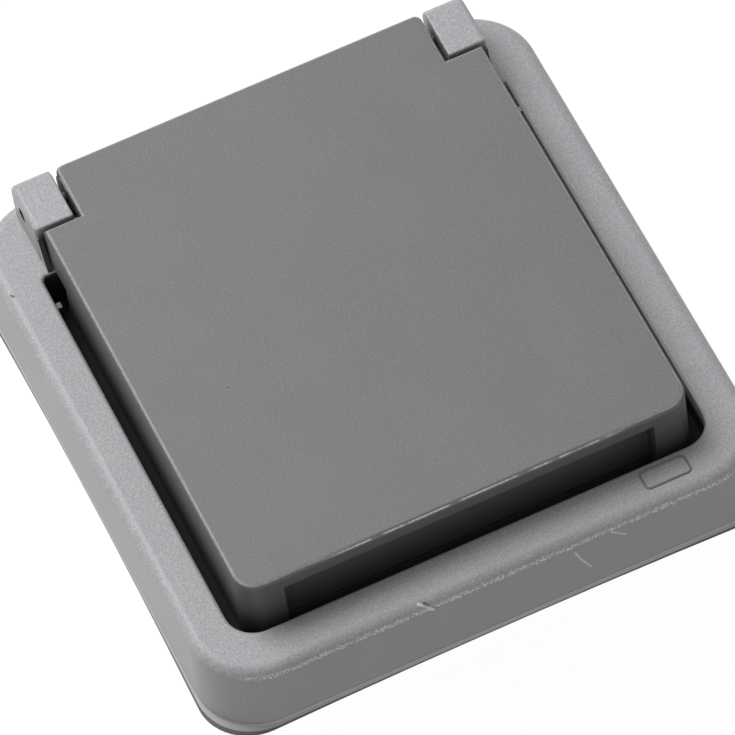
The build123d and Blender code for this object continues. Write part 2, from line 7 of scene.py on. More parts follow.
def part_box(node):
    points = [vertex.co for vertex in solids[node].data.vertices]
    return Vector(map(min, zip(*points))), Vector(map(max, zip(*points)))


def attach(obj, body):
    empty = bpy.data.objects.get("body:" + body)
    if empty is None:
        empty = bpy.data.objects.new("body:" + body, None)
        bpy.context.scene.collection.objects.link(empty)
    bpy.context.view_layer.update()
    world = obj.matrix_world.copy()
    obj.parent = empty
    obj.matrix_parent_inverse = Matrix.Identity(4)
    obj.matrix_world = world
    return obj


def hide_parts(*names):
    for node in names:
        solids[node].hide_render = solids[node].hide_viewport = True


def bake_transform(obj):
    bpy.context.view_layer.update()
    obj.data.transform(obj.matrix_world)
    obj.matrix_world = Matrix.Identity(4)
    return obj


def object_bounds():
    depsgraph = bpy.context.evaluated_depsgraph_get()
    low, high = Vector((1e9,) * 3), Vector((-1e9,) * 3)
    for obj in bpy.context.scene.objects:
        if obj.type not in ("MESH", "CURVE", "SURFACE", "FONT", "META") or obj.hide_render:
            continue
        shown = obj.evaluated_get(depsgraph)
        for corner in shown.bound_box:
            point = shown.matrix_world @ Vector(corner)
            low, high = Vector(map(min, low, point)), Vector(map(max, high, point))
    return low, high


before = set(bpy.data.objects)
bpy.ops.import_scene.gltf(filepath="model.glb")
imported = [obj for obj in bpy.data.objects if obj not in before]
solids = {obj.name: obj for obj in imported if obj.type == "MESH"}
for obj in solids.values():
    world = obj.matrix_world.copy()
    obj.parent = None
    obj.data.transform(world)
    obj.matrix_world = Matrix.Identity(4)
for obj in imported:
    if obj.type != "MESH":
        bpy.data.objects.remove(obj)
cad_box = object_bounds()


# Insulating base: a block of dull thermosetting resin, pressed in a heated mould in one piece.
# It carries the contacts and terminals, and four rivets hold it to the legs of the support ring.
MM = 0.001


def feed(tree, value, socket):
    """A plain value or another node's output into a socket."""
    if isinstance(value, bpy.types.NodeSocket):
        tree.links.new(value, socket)
    else:
        socket.default_value = value


def add(tree, kind, inputs=None, **settings):
    """One node with its settings and inputs."""
    node = tree.nodes.new(kind)
    for name, setting in settings.items():
        setattr(node, name, setting)
    for name, value in (inputs or {}).items():
        feed(tree, value, node.inputs[name])
    return node


def calc(tree, operation, *values):
    """The result of one step of arithmetic."""
    return add(tree, "ShaderNodeMath", dict(enumerate(values)), operation=operation).outputs[0]


def fade(tree, value, low, high, start=0.0, end=1.0):
    """Goes smoothly from start to end while the value goes from low to high."""
    limits = dict(enumerate((value, low, high, start, end)))
    return add(tree, "ShaderNodeMapRange", limits, interpolation_type="SMOOTHSTEP").outputs[0]


def set_skin(material, name, value):
    """A plain value or a node's output as one property of the surface."""
    feed(material.node_tree, value, material.node_tree.nodes["Principled BSDF"].inputs[name])


def finish(name, metallic=0.0):
    """A new surface finish; the section that needs it adds colour, roughness and relief."""
    material = bpy.data.materials.new(name)
    material.use_nodes = True
    set_skin(material, "Metallic", metallic)
    return material


def spot(tree, output="Object"):
    """The point on the piece that is shaded, or with Normal the way its surface faces."""
    known = tree.nodes.get("Spot")
    if known is None:
        known = add(tree, "ShaderNodeTexCoord", name="Spot")
    return known.outputs[output]


def mottle(tree, size, detail=2.0, stretch=(1, 1, 1)):
    """Random soft patches of this size in mm, drawn out along an axis by its stretch."""
    scale = [1 / (size * MM * long) for long in stretch]
    place = add(tree, "ShaderNodeMapping", {"Vector": spot(tree), "Scale": scale})
    patches = {"Vector": place.outputs[0], "Scale": 1.0, "Detail": detail}
    return add(tree, "ShaderNodeTexNoise", patches).outputs["Fac"]


def tint(tree, share, plain, other):
    """The plain colour where the share is 0, the other one where it is 1."""
    node = add(tree, "ShaderNodeMix", data_type="RGBA")
    colours = [socket for socket in node.inputs if socket.type == "RGBA"]
    feed(tree, share, node.inputs[0])
    for colour, socket in zip((plain, other), colours):
        feed(tree, colour if isinstance(colour, bpy.types.NodeSocket) else (*colour, 1.0), socket)
    return [socket for socket in node.outputs if socket.type == "RGBA"][0]


def relief(tree, height, depth, under=None):
    """Bumps of this depth in mm, on top of those under them."""
    node = add(tree, "ShaderNodeBump", {"Distance": depth * MM, "Height": height})
    if under is not None:
        feed(tree, under, node.inputs["Normal"])
    return node.outputs[0]


def dress(material, *names):
    """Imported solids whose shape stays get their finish."""
    for name in names:
        solids[name].data.materials.clear()
        solids[name].data.materials.append(material)


resin = finish("pressed_resin")
resin_paint = resin.node_tree
resin_cloud = fade(resin_paint, mottle(resin_paint, 6.0, 4.0), 0.35, 0.65)
resin_colour = tint(resin_paint, resin_cloud, (0.46, 0.44, 0.395), (0.54, 0.52, 0.47))
resin_fleck = fade(resin_paint, mottle(resin_paint, 0.35, 1.0), 0.68, 0.74, 0.0, 0.45)
set_skin(resin, "Base Color", tint(resin_paint, resin_fleck, resin_colour, (0.2, 0.19, 0.17)))
set_skin(resin, "Roughness", fade(resin_paint, mottle(resin_paint, 1.5, 3.0), 0.3, 0.7, 0.5, 0.7))
set_skin(resin, "Normal", relief(resin_paint, mottle(resin_paint, 0.25), 0.03))
dress(resin, "socket_base")


# Pole contacts and earth bracket: springy bronze strip, blanked, rolled or bent in a press tool.
# They drop into chambers of the base, and the cup screwed down above them keeps them there.
bronze = finish("rolled_bronze", metallic=1.0)
bronze_paint = bronze.node_tree
bronze_lines = mottle(bronze_paint, 0.2, 2.0, (1, 1, 40))
bronze_cloud = fade(bronze_paint, mottle(bronze_paint, 3.0, 4.0), 0.35, 0.65)
set_skin(bronze, "Base Color", tint(bronze_paint, bronze_cloud, (0.55, 0.35, 0.19), (0.72, 0.52, 0.31)))
set_skin(bronze, "Roughness", fade(bronze_paint, bronze_lines, 0.3, 0.7, 0.24, 0.42))
set_skin(bronze, "Normal", relief(bronze_paint, bronze_lines, 0.008))
dress(bronze, "live_contact", "neutral_contact", "earth_bracket")


# Terminal cages: short lengths of drawn brass channel, sawn off, drilled and tapped for a screw.
# Each lies loose in a pocket of the base, round the tail of its contact.
brass = finish("sawn_brass", metallic=1.0)
brass_paint = brass.node_tree
brass_lines = mottle(brass_paint, 0.16, 2.0, (30, 30, 1))
brass_cloud = fade(brass_paint, mottle(brass_paint, 2.5, 4.0), 0.35, 0.65)
set_skin(brass, "Base Color", tint(brass_paint, brass_cloud, (0.6, 0.44, 0.19), (0.76, 0.6, 0.3)))
set_skin(brass, "Roughness", fade(brass_paint, brass_lines, 0.3, 0.7, 0.26, 0.42))
set_skin(brass, "Normal", relief(brass_paint, brass_lines, 0.012))
dress(brass, "live_cage", "neutral_cage", "earth_cage")


# Terminal screws: slotted cheese-head screws of zinc-plated steel, one through each cage's end wall.
# They are headed, slotted and thread-rolled; a wire is pushed up into the cage and they clamp it.
zinc = finish("zinc_plate", metallic=1.0)
zinc_paint = zinc.node_tree
zinc_cloud = fade(zinc_paint, mottle(zinc_paint, 2.2, 5.0), 0.35, 0.65)
set_skin(zinc, "Base Color", tint(zinc_paint, zinc_cloud, (0.5, 0.5, 0.485), (0.68, 0.68, 0.65)))
set_skin(zinc, "Roughness", fade(zinc_paint, zinc_cloud, 0.0, 1.0, 0.42, 0.27))
set_skin(zinc, "Normal", relief(zinc_paint, mottle(zinc_paint, 0.18), 0.01))


def sized_tree(name, sizes):
    """An empty geometry tree with these named inputs, and its inputs by name."""
    tree = bpy.data.node_groups.new(name, "GeometryNodeTree")
    tree.interface.new_socket("Geometry", in_out="INPUT", socket_type="NodeSocketGeometry")
    for label in sizes:
        kind = "NodeSocketMaterial" if label == "Finish" else "NodeSocketFloat"
        tree.interface.new_socket(label, in_out="INPUT", socket_type=kind)
    tree.interface.new_socket("Geometry", in_out="OUTPUT", socket_type="NodeSocketGeometry")
    return tree, tree.nodes.new("NodeGroupInput").outputs


crease_angle = math.radians(38)


def close_tree(tree, shape, material):
    """Smooth faces with the sharp edges kept, the finish, and the output."""
    real = add(tree, "GeometryNodeRealizeInstances", {"Geometry": shape}).outputs[0]
    smooth = add(tree, "GeometryNodeSetShadeSmooth", {"Geometry": real, "Shade Smooth": True}).outputs[0]
    angle = add(tree, "GeometryNodeInputMeshEdgeAngle").outputs["Unsigned Angle"]
    crease = calc(tree, "GREATER_THAN", angle, crease_angle)
    edges = {"Geometry": smooth, "Selection": crease, "Shade Smooth": False}
    sharp = add(tree, "GeometryNodeSetShadeSmooth", edges, domain="EDGE").outputs[0]
    skin = add(tree, "GeometryNodeSetMaterial", {"Geometry": sharp, "Material": material}).outputs[0]
    feed(tree, skin, tree.nodes.new("NodeGroupOutput").inputs[0])


def grow(tree, name, seed, sizes):
    """Runs a tree on a seed mesh and keeps the result as one plain mesh object."""
    piece = bpy.data.objects.new(name, seed)
    bpy.context.scene.collection.objects.link(piece)
    modifier = piece.modifiers.new("shape", "NODES")
    modifier.node_group = tree
    for socket in tree.interface.items_tree:
        if socket.in_out == "INPUT" and socket.name in sizes:
            modifier[socket.identifier] = sizes[socket.name]
    shaped = piece.evaluated_get(bpy.context.evaluated_depsgraph_get())
    result = bpy.data.meshes.new_from_object(shaped)
    piece.modifiers.clear()
    piece.data = result
    return piece


def scaled_round_z(tree, mesh, factor):
    """Moves a mesh's points to or from the Z axis by a factor."""
    sides = add(tree, "ShaderNodeCombineXYZ", {"X": factor, "Y": factor, "Z": 1.0}).outputs[0]
    here = add(tree, "GeometryNodeInputPosition").outputs[0]
    moved = add(tree, "ShaderNodeVectorMath", {0: here, 1: sides}, operation="MULTIPLY").outputs[0]
    return add(tree, "GeometryNodeSetPosition", {"Geometry": mesh, "Position": moved}).outputs[0]


def lifted(tree, mesh, height):
    """The mesh, moved up."""
    offset = add(tree, "ShaderNodeCombineXYZ", {"Z": height}).outputs[0]
    return add(tree, "GeometryNodeTransform", {"Geometry": mesh, "Translation": offset}).outputs[0]


def position(tree):
    """Each point's place, as X, Y and Z."""
    here = add(tree, "GeometryNodeInputPosition").outputs[0]
    return add(tree, "ShaderNodeSeparateXYZ", {0: here}).outputs


fixing_sizes = (
    "Shank Radius", "Shank Length", "Thread Pitch", "Thread Depth",
    "Head Radius", "Head Height", "Head Cone", "Head Dome", "Slot Width", "Slot Depth", "Finish",
)
fixing_tree, fixing = sized_tree("headed_fixing", fixing_sizes)

# The shank hangs below the seat, and the thread rolled on it follows the angle round the axis.
shank_sides = 20
rings_a_turn = 6.0
thread_turns = calc(fixing_tree, "DIVIDE", fixing["Shank Length"], fixing["Thread Pitch"])
shank_form = {
    "Vertices": shank_sides,
    "Side Segments": calc(fixing_tree, "MULTIPLY", thread_turns, rings_a_turn),
    "Radius": fixing["Shank Radius"],
    "Depth": fixing["Shank Length"],
}
shank = add(fixing_tree, "GeometryNodeMeshCylinder", shank_form).outputs["Mesh"]
shank = lifted(fixing_tree, shank, calc(fixing_tree, "MULTIPLY", fixing["Shank Length"], -0.5))
here = position(fixing_tree)
turn = calc(fixing_tree, "ARCTAN2", here["Y"], here["X"])
rise = calc(fixing_tree, "DIVIDE", here["Z"], fixing["Thread Pitch"])
phase = calc(fixing_tree, "SUBTRACT", calc(fixing_tree, "MULTIPLY", rise, math.tau), turn)
wave = calc(fixing_tree, "MULTIPLY_ADD", calc(fixing_tree, "COSINE", phase), 0.5, 0.5)
bite = calc(fixing_tree, "DIVIDE", fixing["Thread Depth"], fixing["Shank Radius"])
groove = calc(fixing_tree, "SUBTRACT", 1.0, calc(fixing_tree, "MULTIPLY", wave, bite))
shank = scaled_round_z(fixing_tree, shank, groove)

# The head stands on the seat: straight with a broken edge, coned down to the shank, or domed.
head_form = {
    "Vertices": 36,
    "Side Segments": 8,
    "Radius": fixing["Head Radius"],
    "Depth": fixing["Head Height"],
}
head = add(fixing_tree, "GeometryNodeMeshCylinder", head_form).outputs["Mesh"]
head = lifted(fixing_tree, head, calc(fixing_tree, "MULTIPLY", fixing["Head Height"], 0.5))
level = calc(fixing_tree, "DIVIDE", position(fixing_tree)["Z"], fixing["Head Height"])
neck = calc(fixing_tree, "DIVIDE", fixing["Shank Radius"], fixing["Head Radius"])
cone = calc(fixing_tree, "MULTIPLY_ADD", level, calc(fixing_tree, "SUBTRACT", 1.0, neck), neck)
bowl = calc(fixing_tree, "POWER", calc(fixing_tree, "MULTIPLY", level, fixing["Head Dome"]), 2.0)
bowl = calc(fixing_tree, "SQRT", calc(fixing_tree, "SUBTRACT", 1.0, bowl))
broken_edge = fade(fixing_tree, level, 0.7, 1.0, 1.0, 0.93)
straight = calc(fixing_tree, "MULTIPLY", broken_edge, bowl)
lean = calc(fixing_tree, "SUBTRACT", cone, straight)
outline = calc(fixing_tree, "MULTIPLY_ADD", lean, fixing["Head Cone"], straight)
head = scaled_round_z(fixing_tree, head, outline)

# A saw cut across the head; a depth below zero leaves the head whole.
saw_form = {
    "X": calc(fixing_tree, "MULTIPLY", fixing["Head Radius"], 3.0),
    "Y": fixing["Slot Width"],
    "Z": fixing["Head Height"],
}
saw_form = add(fixing_tree, "ShaderNodeCombineXYZ", saw_form).outputs[0]
saw = add(fixing_tree, "GeometryNodeMeshCube", {"Size": saw_form}).outputs["Mesh"]
saw_middle = calc(fixing_tree, "MULTIPLY", fixing["Head Height"], 1.5)
saw = lifted(fixing_tree, saw, calc(fixing_tree, "SUBTRACT", saw_middle, fixing["Slot Depth"]))
cut = {"Mesh 1": head, "Mesh 2": saw}
cut = add(fixing_tree, "GeometryNodeMeshBoolean", cut, operation="DIFFERENCE", solver="EXACT").outputs["Mesh"]
whole = add(fixing_tree, "GeometryNodeJoinGeometry")
for half in (cut, shank):
    fixing_tree.links.new(half, whole.inputs[0])


def seed_direction(name):
    """A direction that each seed point carries."""
    named = {"Name": name}
    return add(fixing_tree, "GeometryNodeInputNamedAttribute", named, data_type="FLOAT_VECTOR").outputs[0]


# One at each seed point, its head along "aim" and its slot along "slot_line".
turned = {"Vector": seed_direction("aim")}
turned = add(fixing_tree, "FunctionNodeAlignRotationToVector", turned, axis="Z").outputs[0]
turned = {"Rotation": turned, "Vector": seed_direction("slot_line")}
turned = add(fixing_tree, "FunctionNodeAlignRotationToVector", turned, axis="X", pivot_axis="Z").outputs[0]
row = {"Points": fixing["Geometry"], "Instance": whole.outputs[0], "Rotation": turned}
row = add(fixing_tree, "GeometryNodeInstanceOnPoints", row).outputs[0]
close_tree(fixing_tree, row, fixing["Finish"])


def fixings(name, seats, slot_line, sizes):
    """Screws or rivets on these seats, each a place and the way its head points, in mm."""
    seed = bpy.data.meshes.new(name)
    seed.from_pydata([Vector(place) * MM for place, aim in seats], [], [])
    aims = seed.attributes.new("aim", "FLOAT_VECTOR", "POINT")
    lines = seed.attributes.new("slot_line", "FLOAT_VECTOR", "POINT")
    for one, (place, aim) in enumerate(seats):
        aims.data[one].vector = aim
        lines.data[one].vector = slot_line
    in_metres = {label: size * MM for label, size in sizes.items()}
    shares = {label: float(sizes.get(label, 0)) for label in ("Head Cone", "Head Dome")}
    return grow(fixing_tree, name, seed, {**in_metres, **shares, "Finish": zinc})


def box_mm(node):
    """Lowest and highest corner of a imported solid, in mm."""
    low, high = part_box(node)
    return low / MM, high / MM


def stand_for(piece, node, body):
    """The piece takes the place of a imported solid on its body."""
    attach(piece, body)
    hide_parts(node)


cage_low, cage_high = box_mm("neutral_cage")
pole_x = (cage_low.x + cage_high.x) / 2
cage_middle = (cage_low.z + cage_high.z) / 2
terminal_sizes = {
    "Shank Radius": 1.4, "Shank Length": 4.0, "Thread Pitch": 0.5, "Thread Depth": 0.16,
    "Head Radius": 2.2, "Head Height": 1.5, "Slot Width": 0.6, "Slot Depth": 0.7,
}
terminal_seats = [((x, cage_high.y, cage_middle), (0, 1, 0)) for x in (-pole_x, pole_x)]
terminal_seats.append(((0, -cage_high.y, cage_middle), (0, -1, 0)))
terminals = fixings("clamping_screws", terminal_seats, (1, 0, 0), terminal_sizes)
stand_for(terminals, "terminal_screws", "insert")


# Support ring: steel sheet blanked in one stroke, with legs and claw lugs bent down, then zinc plated.
# It is screwed to the wall box through its two slots, and its legs are riveted to the base.
dress(zinc, "support_ring")


# Rivets: four plated steel rivets with domed heads, through the legs of the ring.
# They are driven into blind holes of the base.
rivet_sizes = {
    "Shank Radius": 1.2, "Shank Length": 5.0, "Thread Pitch": 5.0, "Thread Depth": 0.0,
    "Head Radius": 2.1, "Head Height": 0.9, "Head Dome": 0.96, "Slot Width": 0.5, "Slot Depth": -0.1,
}
rivet_low, rivet_high = box_mm("ring_rivets")
rivet_x = rivet_high.x - rivet_sizes["Head Height"]
rivet_y = rivet_high.y - rivet_sizes["Head Radius"]
rivet_z = (rivet_low.z + rivet_high.z) / 2
rivet_seats = [((side * rivet_x, y, rivet_z), (side, 0, 0)) for side in (-1, 1) for y in (-rivet_y, rivet_y)]
rivets = fixings("leg_rivets", rivet_seats, (0, 0, 1), rivet_sizes)
stand_for(rivets, "ring_rivets", "insert")


# Spreading claws and their screws: forked plated steel strip that swings on two trunnions in the lugs.
# Turning the screw from the front draws the tab up, and the teeth bite into the wall box.
dress(zinc, "right_claw", "left_claw")
claw_screw_sizes = {
    "Shank Radius": 1.5, "Shank Length": 18.0, "Thread Pitch": 0.6, "Thread Depth": 0.2,
    "Head Radius": 2.7, "Head Height": 1.5, "Slot Width": 0.6, "Slot Depth": 0.7,
}
claw_high = box_mm("claw_screws")[1]
claw_x = claw_high.x - claw_screw_sizes["Head Radius"]
claw_seat = claw_high.z - claw_screw_sizes["Head Height"]
claw_seats = [((side * claw_x, 0, claw_seat), (0, 0, 1)) for side in (-1, 1)]
claw_screws = fixings("spreading_screws", claw_seats, (1, 0, 0), claw_screw_sizes)
stand_for(claw_screws, "claw_screws", "insert")


# Wall gasket: a ring of soft black rubber with two fine sealing lips towards the wall.
# It is pressed without glue into the rebate behind the frame's rim.
rubber = finish("dull_rubber")
rubber_paint = rubber.node_tree
rubber_bloom = fade(rubber_paint, mottle(rubber_paint, 1.8, 5.0), 0.4, 0.7)
set_skin(rubber, "Base Color", tint(rubber_paint, rubber_bloom, (0.02, 0.02, 0.022), (0.045, 0.045, 0.047)))
set_skin(rubber, "Roughness", fade(rubber_paint, rubber_bloom, 0.0, 1.0, 0.62, 0.85))
set_skin(rubber, "Normal", relief(rubber_paint, mottle(rubber_paint, 0.12), 0.012))

seal_sizes = ("Length", "Breadth", "Corner", "Width", "Height", "Bead", "Finish")
seal_tree, seal = sized_tree("lipped_seal", seal_sizes)


def rounded_line(tree, breadth, length, corner, steps):
    """A rectangle with round corners, as a path."""
    line = {"Width": breadth, "Height": length}
    line = add(tree, "GeometryNodeCurvePrimitiveQuadrilateral", line).outputs[0]
    line = {"Curve": line, "Radius": corner, "Count": steps}
    return add(tree, "GeometryNodeFilletCurve", line, mode="POLY").outputs[0]


def round_bead(tree, radius, steps):
    """A circle, as a profile."""
    return add(tree, "GeometryNodeCurvePrimitiveCircle", {"Resolution": steps, "Radius": radius}).outputs[0]


def swept(tree, path, profile, height):
    """A profile drawn along a level path and lifted to this height."""
    upright = add(tree, "GeometryNodeSetCurveNormal", {"Curve": path}, mode="Z_UP").outputs[0]
    tube = {"Curve": upright, "Profile Curve": profile, "Fill Caps": True}
    return lifted(tree, add(tree, "GeometryNodeCurveToMesh", tube).outputs[0], height)


def seal_path(inset):
    """The seal's middle line, moved in by a share of its width."""
    less = calc(seal_tree, "MULTIPLY", seal["Width"], -2.0 * inset)
    breadth = calc(seal_tree, "ADD", seal["Breadth"], less)
    length = calc(seal_tree, "ADD", seal["Length"], less)
    corner = calc(seal_tree, "MULTIPLY_ADD", less, 0.5, seal["Corner"])
    return rounded_line(seal_tree, breadth, length, corner, 16)


# The strip is thinner than the seal by one bead radius, and the two beads stand out below it.
strip_height = calc(seal_tree, "SUBTRACT", seal["Height"], seal["Bead"])
strip_round = calc(seal_tree, "MULTIPLY", seal["Bead"], 0.8)
strip_form = rounded_line(seal_tree, seal["Width"], strip_height, strip_round, 4)
strip_middle = calc(seal_tree, "MULTIPLY_ADD", strip_height, 0.5, seal["Bead"])
seal_whole = add(seal_tree, "GeometryNodeJoinGeometry")
seal_tree.links.new(swept(seal_tree, seal_path(0.0), strip_form, strip_middle), seal_whole.inputs[0])
bead_inset = 0.24
for inset in (-bead_inset, bead_inset):
    bead = swept(seal_tree, seal_path(inset), round_bead(seal_tree, seal["Bead"], 12), seal["Bead"])
    seal_tree.links.new(bead, seal_whole.inputs[0])
close_tree(seal_tree, seal_whole.outputs[0], seal["Finish"])


def shift(piece, offset):
    """Moves a piece's mesh by an offset in mm."""
    for point in piece.data.vertices:
        point.co += Vector(offset) * MM


def lay_seal(name, node, width, corner, bead):
    """A seal in the place of a packed one; the corner is that of its middle line."""
    low, high = box_mm(node)
    span = high - low
    sizes = {"Length": span.y - width, "Breadth": span.x - width, "Height": span.z}
    sizes = {**sizes, "Width": width, "Corner": corner, "Bead": bead}
    in_metres = {label: size * MM for label, size in sizes.items()}
    piece = grow(seal_tree, name, bpy.data.meshes.new(name), {**in_metres, "Finish": rubber})
    shift(piece, ((low.x + high.x) / 2, (low.y + high.y) / 2, low.z))
    return piece


wall_seal = lay_seal("rim_seal", "wall_gasket", width=2.5, corner=6.5, bead=0.3)
stand_for(wall_seal, "wall_gasket", "insert")


# Cover frame: one injection moulding in light grey plastic, its top grained by the etched mould.
# Walls are smooth, and the grain's lower border on the front edge is scuffed and chipped by use.
def product(tree, *shares):
    """All shares multiplied together."""
    result = shares[0]
    for share in shares[1:]:
        result = calc(tree, "MULTIPLY", result, share)
    return result


def largest(tree, *shares):
    """The highest of all shares."""
    result = shares[0]
    for share in shares[1:]:
        result = calc(tree, "MAXIMUM", result, share)
    return result


# Sizes in mm: the height of the frame's bands, half the lid, and half the well,
# whose middle lies a little to the front.
band_top = 11.45
lid_half = 32.0
well_half = 34.0
well_half_y = 32.2
well_middle_y = -1.2
frame_grey = finish("grained_frame_grey")
frame_paint = frame_grey.node_tree
frame_facing = add(frame_paint, "ShaderNodeSeparateXYZ", {0: spot(frame_paint, "Normal")}).outputs
frame_place = add(frame_paint, "ShaderNodeSeparateXYZ", {0: spot(frame_paint)}).outputs
grain_border = calc(frame_paint, "MULTIPLY_ADD", mottle(frame_paint, 0.5, 3.0), 0.3, frame_facing["Z"])
above_rim = fade(frame_paint, frame_place["Z"], 5.0 * MM, 6.0 * MM)
frame_grained = product(frame_paint, fade(frame_paint, grain_border, 0.35, 0.55), above_rim)
frame_grain = mottle(frame_paint, 0.3, 2.0)
frame_cloud = fade(frame_paint, mottle(frame_paint, 9.0, 4.0), 0.3, 0.7)
frame_peak = product(frame_paint, fade(frame_paint, frame_grain, 0.5, 0.72, 0.0, 0.45), frame_grained)
frame_pit = product(frame_paint, fade(frame_paint, frame_grain, 0.5, 0.3, 0.0, 0.35), frame_grained)
frame_top_tone = tint(frame_paint, frame_cloud, (0.37, 0.37, 0.39), (0.39, 0.39, 0.41))
frame_wall_tone = tint(frame_paint, frame_cloud, (0.312, 0.305, 0.308), (0.329, 0.322, 0.325))
frame_colour = tint(frame_paint, frame_grained, frame_wall_tone, frame_top_tone)
frame_colour = tint(frame_paint, frame_peak, frame_colour, (0.6, 0.6, 0.62))
frame_colour = tint(frame_paint, frame_pit, frame_colour, (0.2, 0.2, 0.21))

# Scuffed border of the grain along the front edge
rubbed_white = (0.85, 0.85, 0.86)
front_edge = fade(frame_paint, frame_place["Y"], -37.6 * MM, -38.6 * MM)
border_low = fade(frame_paint, grain_border, 0.3, 0.38)
border_high = fade(frame_paint, grain_border, 0.75, 0.5)
broken_up = fade(frame_paint, mottle(frame_paint, 0.22, 4.0, (1.5, 1, 1)), 0.42, 0.6, 0.0, 0.85)
scuff = product(frame_paint, front_edge, above_rim, border_low, border_high, broken_up)
frame_colour = tint(frame_paint, scuff, frame_colour, rubbed_white)


def stroke(tree, start, end, width):
    """A ragged mark from start to end, in mm: 1 on its line and 0 beside it."""
    start = Vector(start) * MM
    run = Vector(end) * MM - start
    away = add(tree, "ShaderNodeVectorMath", {0: spot(tree), 1: start}, operation="SUBTRACT").outputs[0]
    reach = add(tree, "ShaderNodeVectorMath", {0: away, 1: run}, operation="DOT_PRODUCT").outputs["Value"]
    share = {0: reach, 1: run.length_squared}
    share = add(tree, "ShaderNodeMath", share, operation="DIVIDE", use_clamp=True).outputs[0]
    foot = add(tree, "ShaderNodeVectorMath", {0: run, "Scale": share}, operation="SCALE").outputs[0]
    apart = add(tree, "ShaderNodeVectorMath", {0: away, 1: foot}, operation="DISTANCE").outputs["Value"]
    width = width * MM
    ragged = calc(tree, "MULTIPLY_ADD", mottle(tree, 0.25, 3.0), width * 0.5, apart)
    return fade(tree, ragged, width * 0.38, width * 0.62, 1.0, 0.0)


# A nick and two scratches that knocks have left on the front wall, and a fleck on the left band
nick = stroke(frame_paint, (-11.1, -39.1, 11.2), (-9.5, -39.9, 10.0), width=0.9)
nick_shade = stroke(frame_paint, (-10.4, -39.2, 11.1), (-9.1, -39.8, 10.1), width=0.7)
scratch = stroke(frame_paint, (10.6, -40.0, 8.9), (11.2, -40.1, 7.2), width=0.55)
scratch_end = stroke(frame_paint, (11.2, -40.1, 7.2), (12.4, -40.3, 4.8), width=0.5)
graze = stroke(frame_paint, (15.9, -39.9, 9.9), (17.7, -40.0, 8.3), width=0.5)
fleck = stroke(frame_paint, (-38.8, 30.4, 11.4), (-38.5, 30.0, 11.4), width=0.5)
scratched = product(frame_paint, largest(frame_paint, scratch, scratch_end, graze), 0.65)
bright_marks = largest(frame_paint, nick, scratched)
dark_marks = largest(frame_paint, nick_shade, fleck)
frame_colour = tint(frame_paint, product(frame_paint, dark_marks, 0.95), frame_colour, (0.03, 0.03, 0.032))
frame_colour = tint(frame_paint, product(frame_paint, bright_marks, 0.9), frame_colour, rubbed_white)

# The rim's foot is painted pale, a painted reflection of the floor, under a painted shaded line, with a
# painted shadow where it meets the wall.
rim_shade = fade(frame_paint, frame_place["Z"], 1.75 * MM, 1.55 * MM, 0.0, 0.35)
rim_painted_reflection = fade(frame_paint, frame_place["Z"], 1.45 * MM, 1.3 * MM, 0.0, 0.8)
rim_painted_shadow = fade(frame_paint, frame_place["Z"], 0.72 * MM, 0.62 * MM, 0.0, 0.85)
frame_colour = tint(frame_paint, rim_shade, frame_colour, (0.12, 0.118, 0.118))
frame_colour = tint(frame_paint, rim_painted_reflection, frame_colour, (0.52, 0.51, 0.515))
frame_colour = tint(frame_paint, rim_painted_shadow, frame_colour, (0.04, 0.038, 0.036))

# Painted shade in the axle's bores through the ears
pin_low, pin_high = box_mm("hinge_pin")
axle = (pin_low + pin_high) / 2
from_axle = {0: spot(frame_paint), 1: axle * MM}
from_axle = add(frame_paint, "ShaderNodeVectorMath", from_axle, operation="SUBTRACT").outputs[0]
from_axle = {0: from_axle, 1: (0, 1, 1)}
from_axle = add(frame_paint, "ShaderNodeVectorMath", from_axle, operation="MULTIPLY").outputs[0]
from_axle = add(frame_paint, "ShaderNodeVectorMath", {0: from_axle}, operation="LENGTH").outputs["Value"]
bore_painted_shade = fade(frame_paint, from_axle, 1.1 * MM, 1.0 * MM, 0.0, 0.95)
frame_colour = tint(frame_paint, bore_painted_shade, frame_colour, (0.015, 0.014, 0.013))

# Painted shade, dark brown, in the narrow nook between each ear and the lid
from_middle_x = calc(frame_paint, "ABSOLUTE", frame_place["X"])
nook_outer = fade(frame_paint, from_middle_x, (lid_half - 0.4) * MM, (lid_half + 0.1) * MM)
nook_rear = fade(frame_paint, frame_place["Y"], 28.0 * MM, 29.5 * MM)
nook_facing = fade(frame_paint, frame_facing["Y"], -0.6, -0.85)
nook_height = fade(frame_paint, frame_place["Z"], 18.2 * MM, 16.6 * MM, 0.0, 0.85)
nook_painted_shade = product(frame_paint, nook_outer, nook_rear, nook_facing, nook_height, above_rim)
frame_colour = tint(frame_paint, nook_painted_shade, frame_colour, (0.03, 0.022, 0.018))

# Painted light: the well's right wall is painted paler below its edge, so that the narrow gap beside the lid
# isn't black.
from_middle_y = calc(frame_paint, "SUBTRACT", frame_place["Y"], well_middle_y * MM)
from_middle_y = calc(frame_paint, "ABSOLUTE", from_middle_y)
within_y = fade(frame_paint, from_middle_y, (well_half_y + 0.3) * MM, (well_half_y + 0.1) * MM)
far_right = fade(frame_paint, frame_place["X"], (well_half - 0.4) * MM, (well_half - 0.1) * MM)
right_wall = product(frame_paint, far_right, within_y)
wall_facing = fade(frame_paint, frame_facing["X"], -0.45, -0.85)
wall_low = fade(frame_paint, frame_place["Z"], (band_top - 3.05) * MM, (band_top - 1.85) * MM)
wall_high = fade(frame_paint, frame_place["Z"], (band_top + 0.35) * MM, (band_top + 0.05) * MM)
wall_painted_light = product(frame_paint, right_wall, wall_facing, wall_low, wall_high)
frame_colour = tint(frame_paint, wall_painted_light, frame_colour, (0.8, 0.8, 0.81))
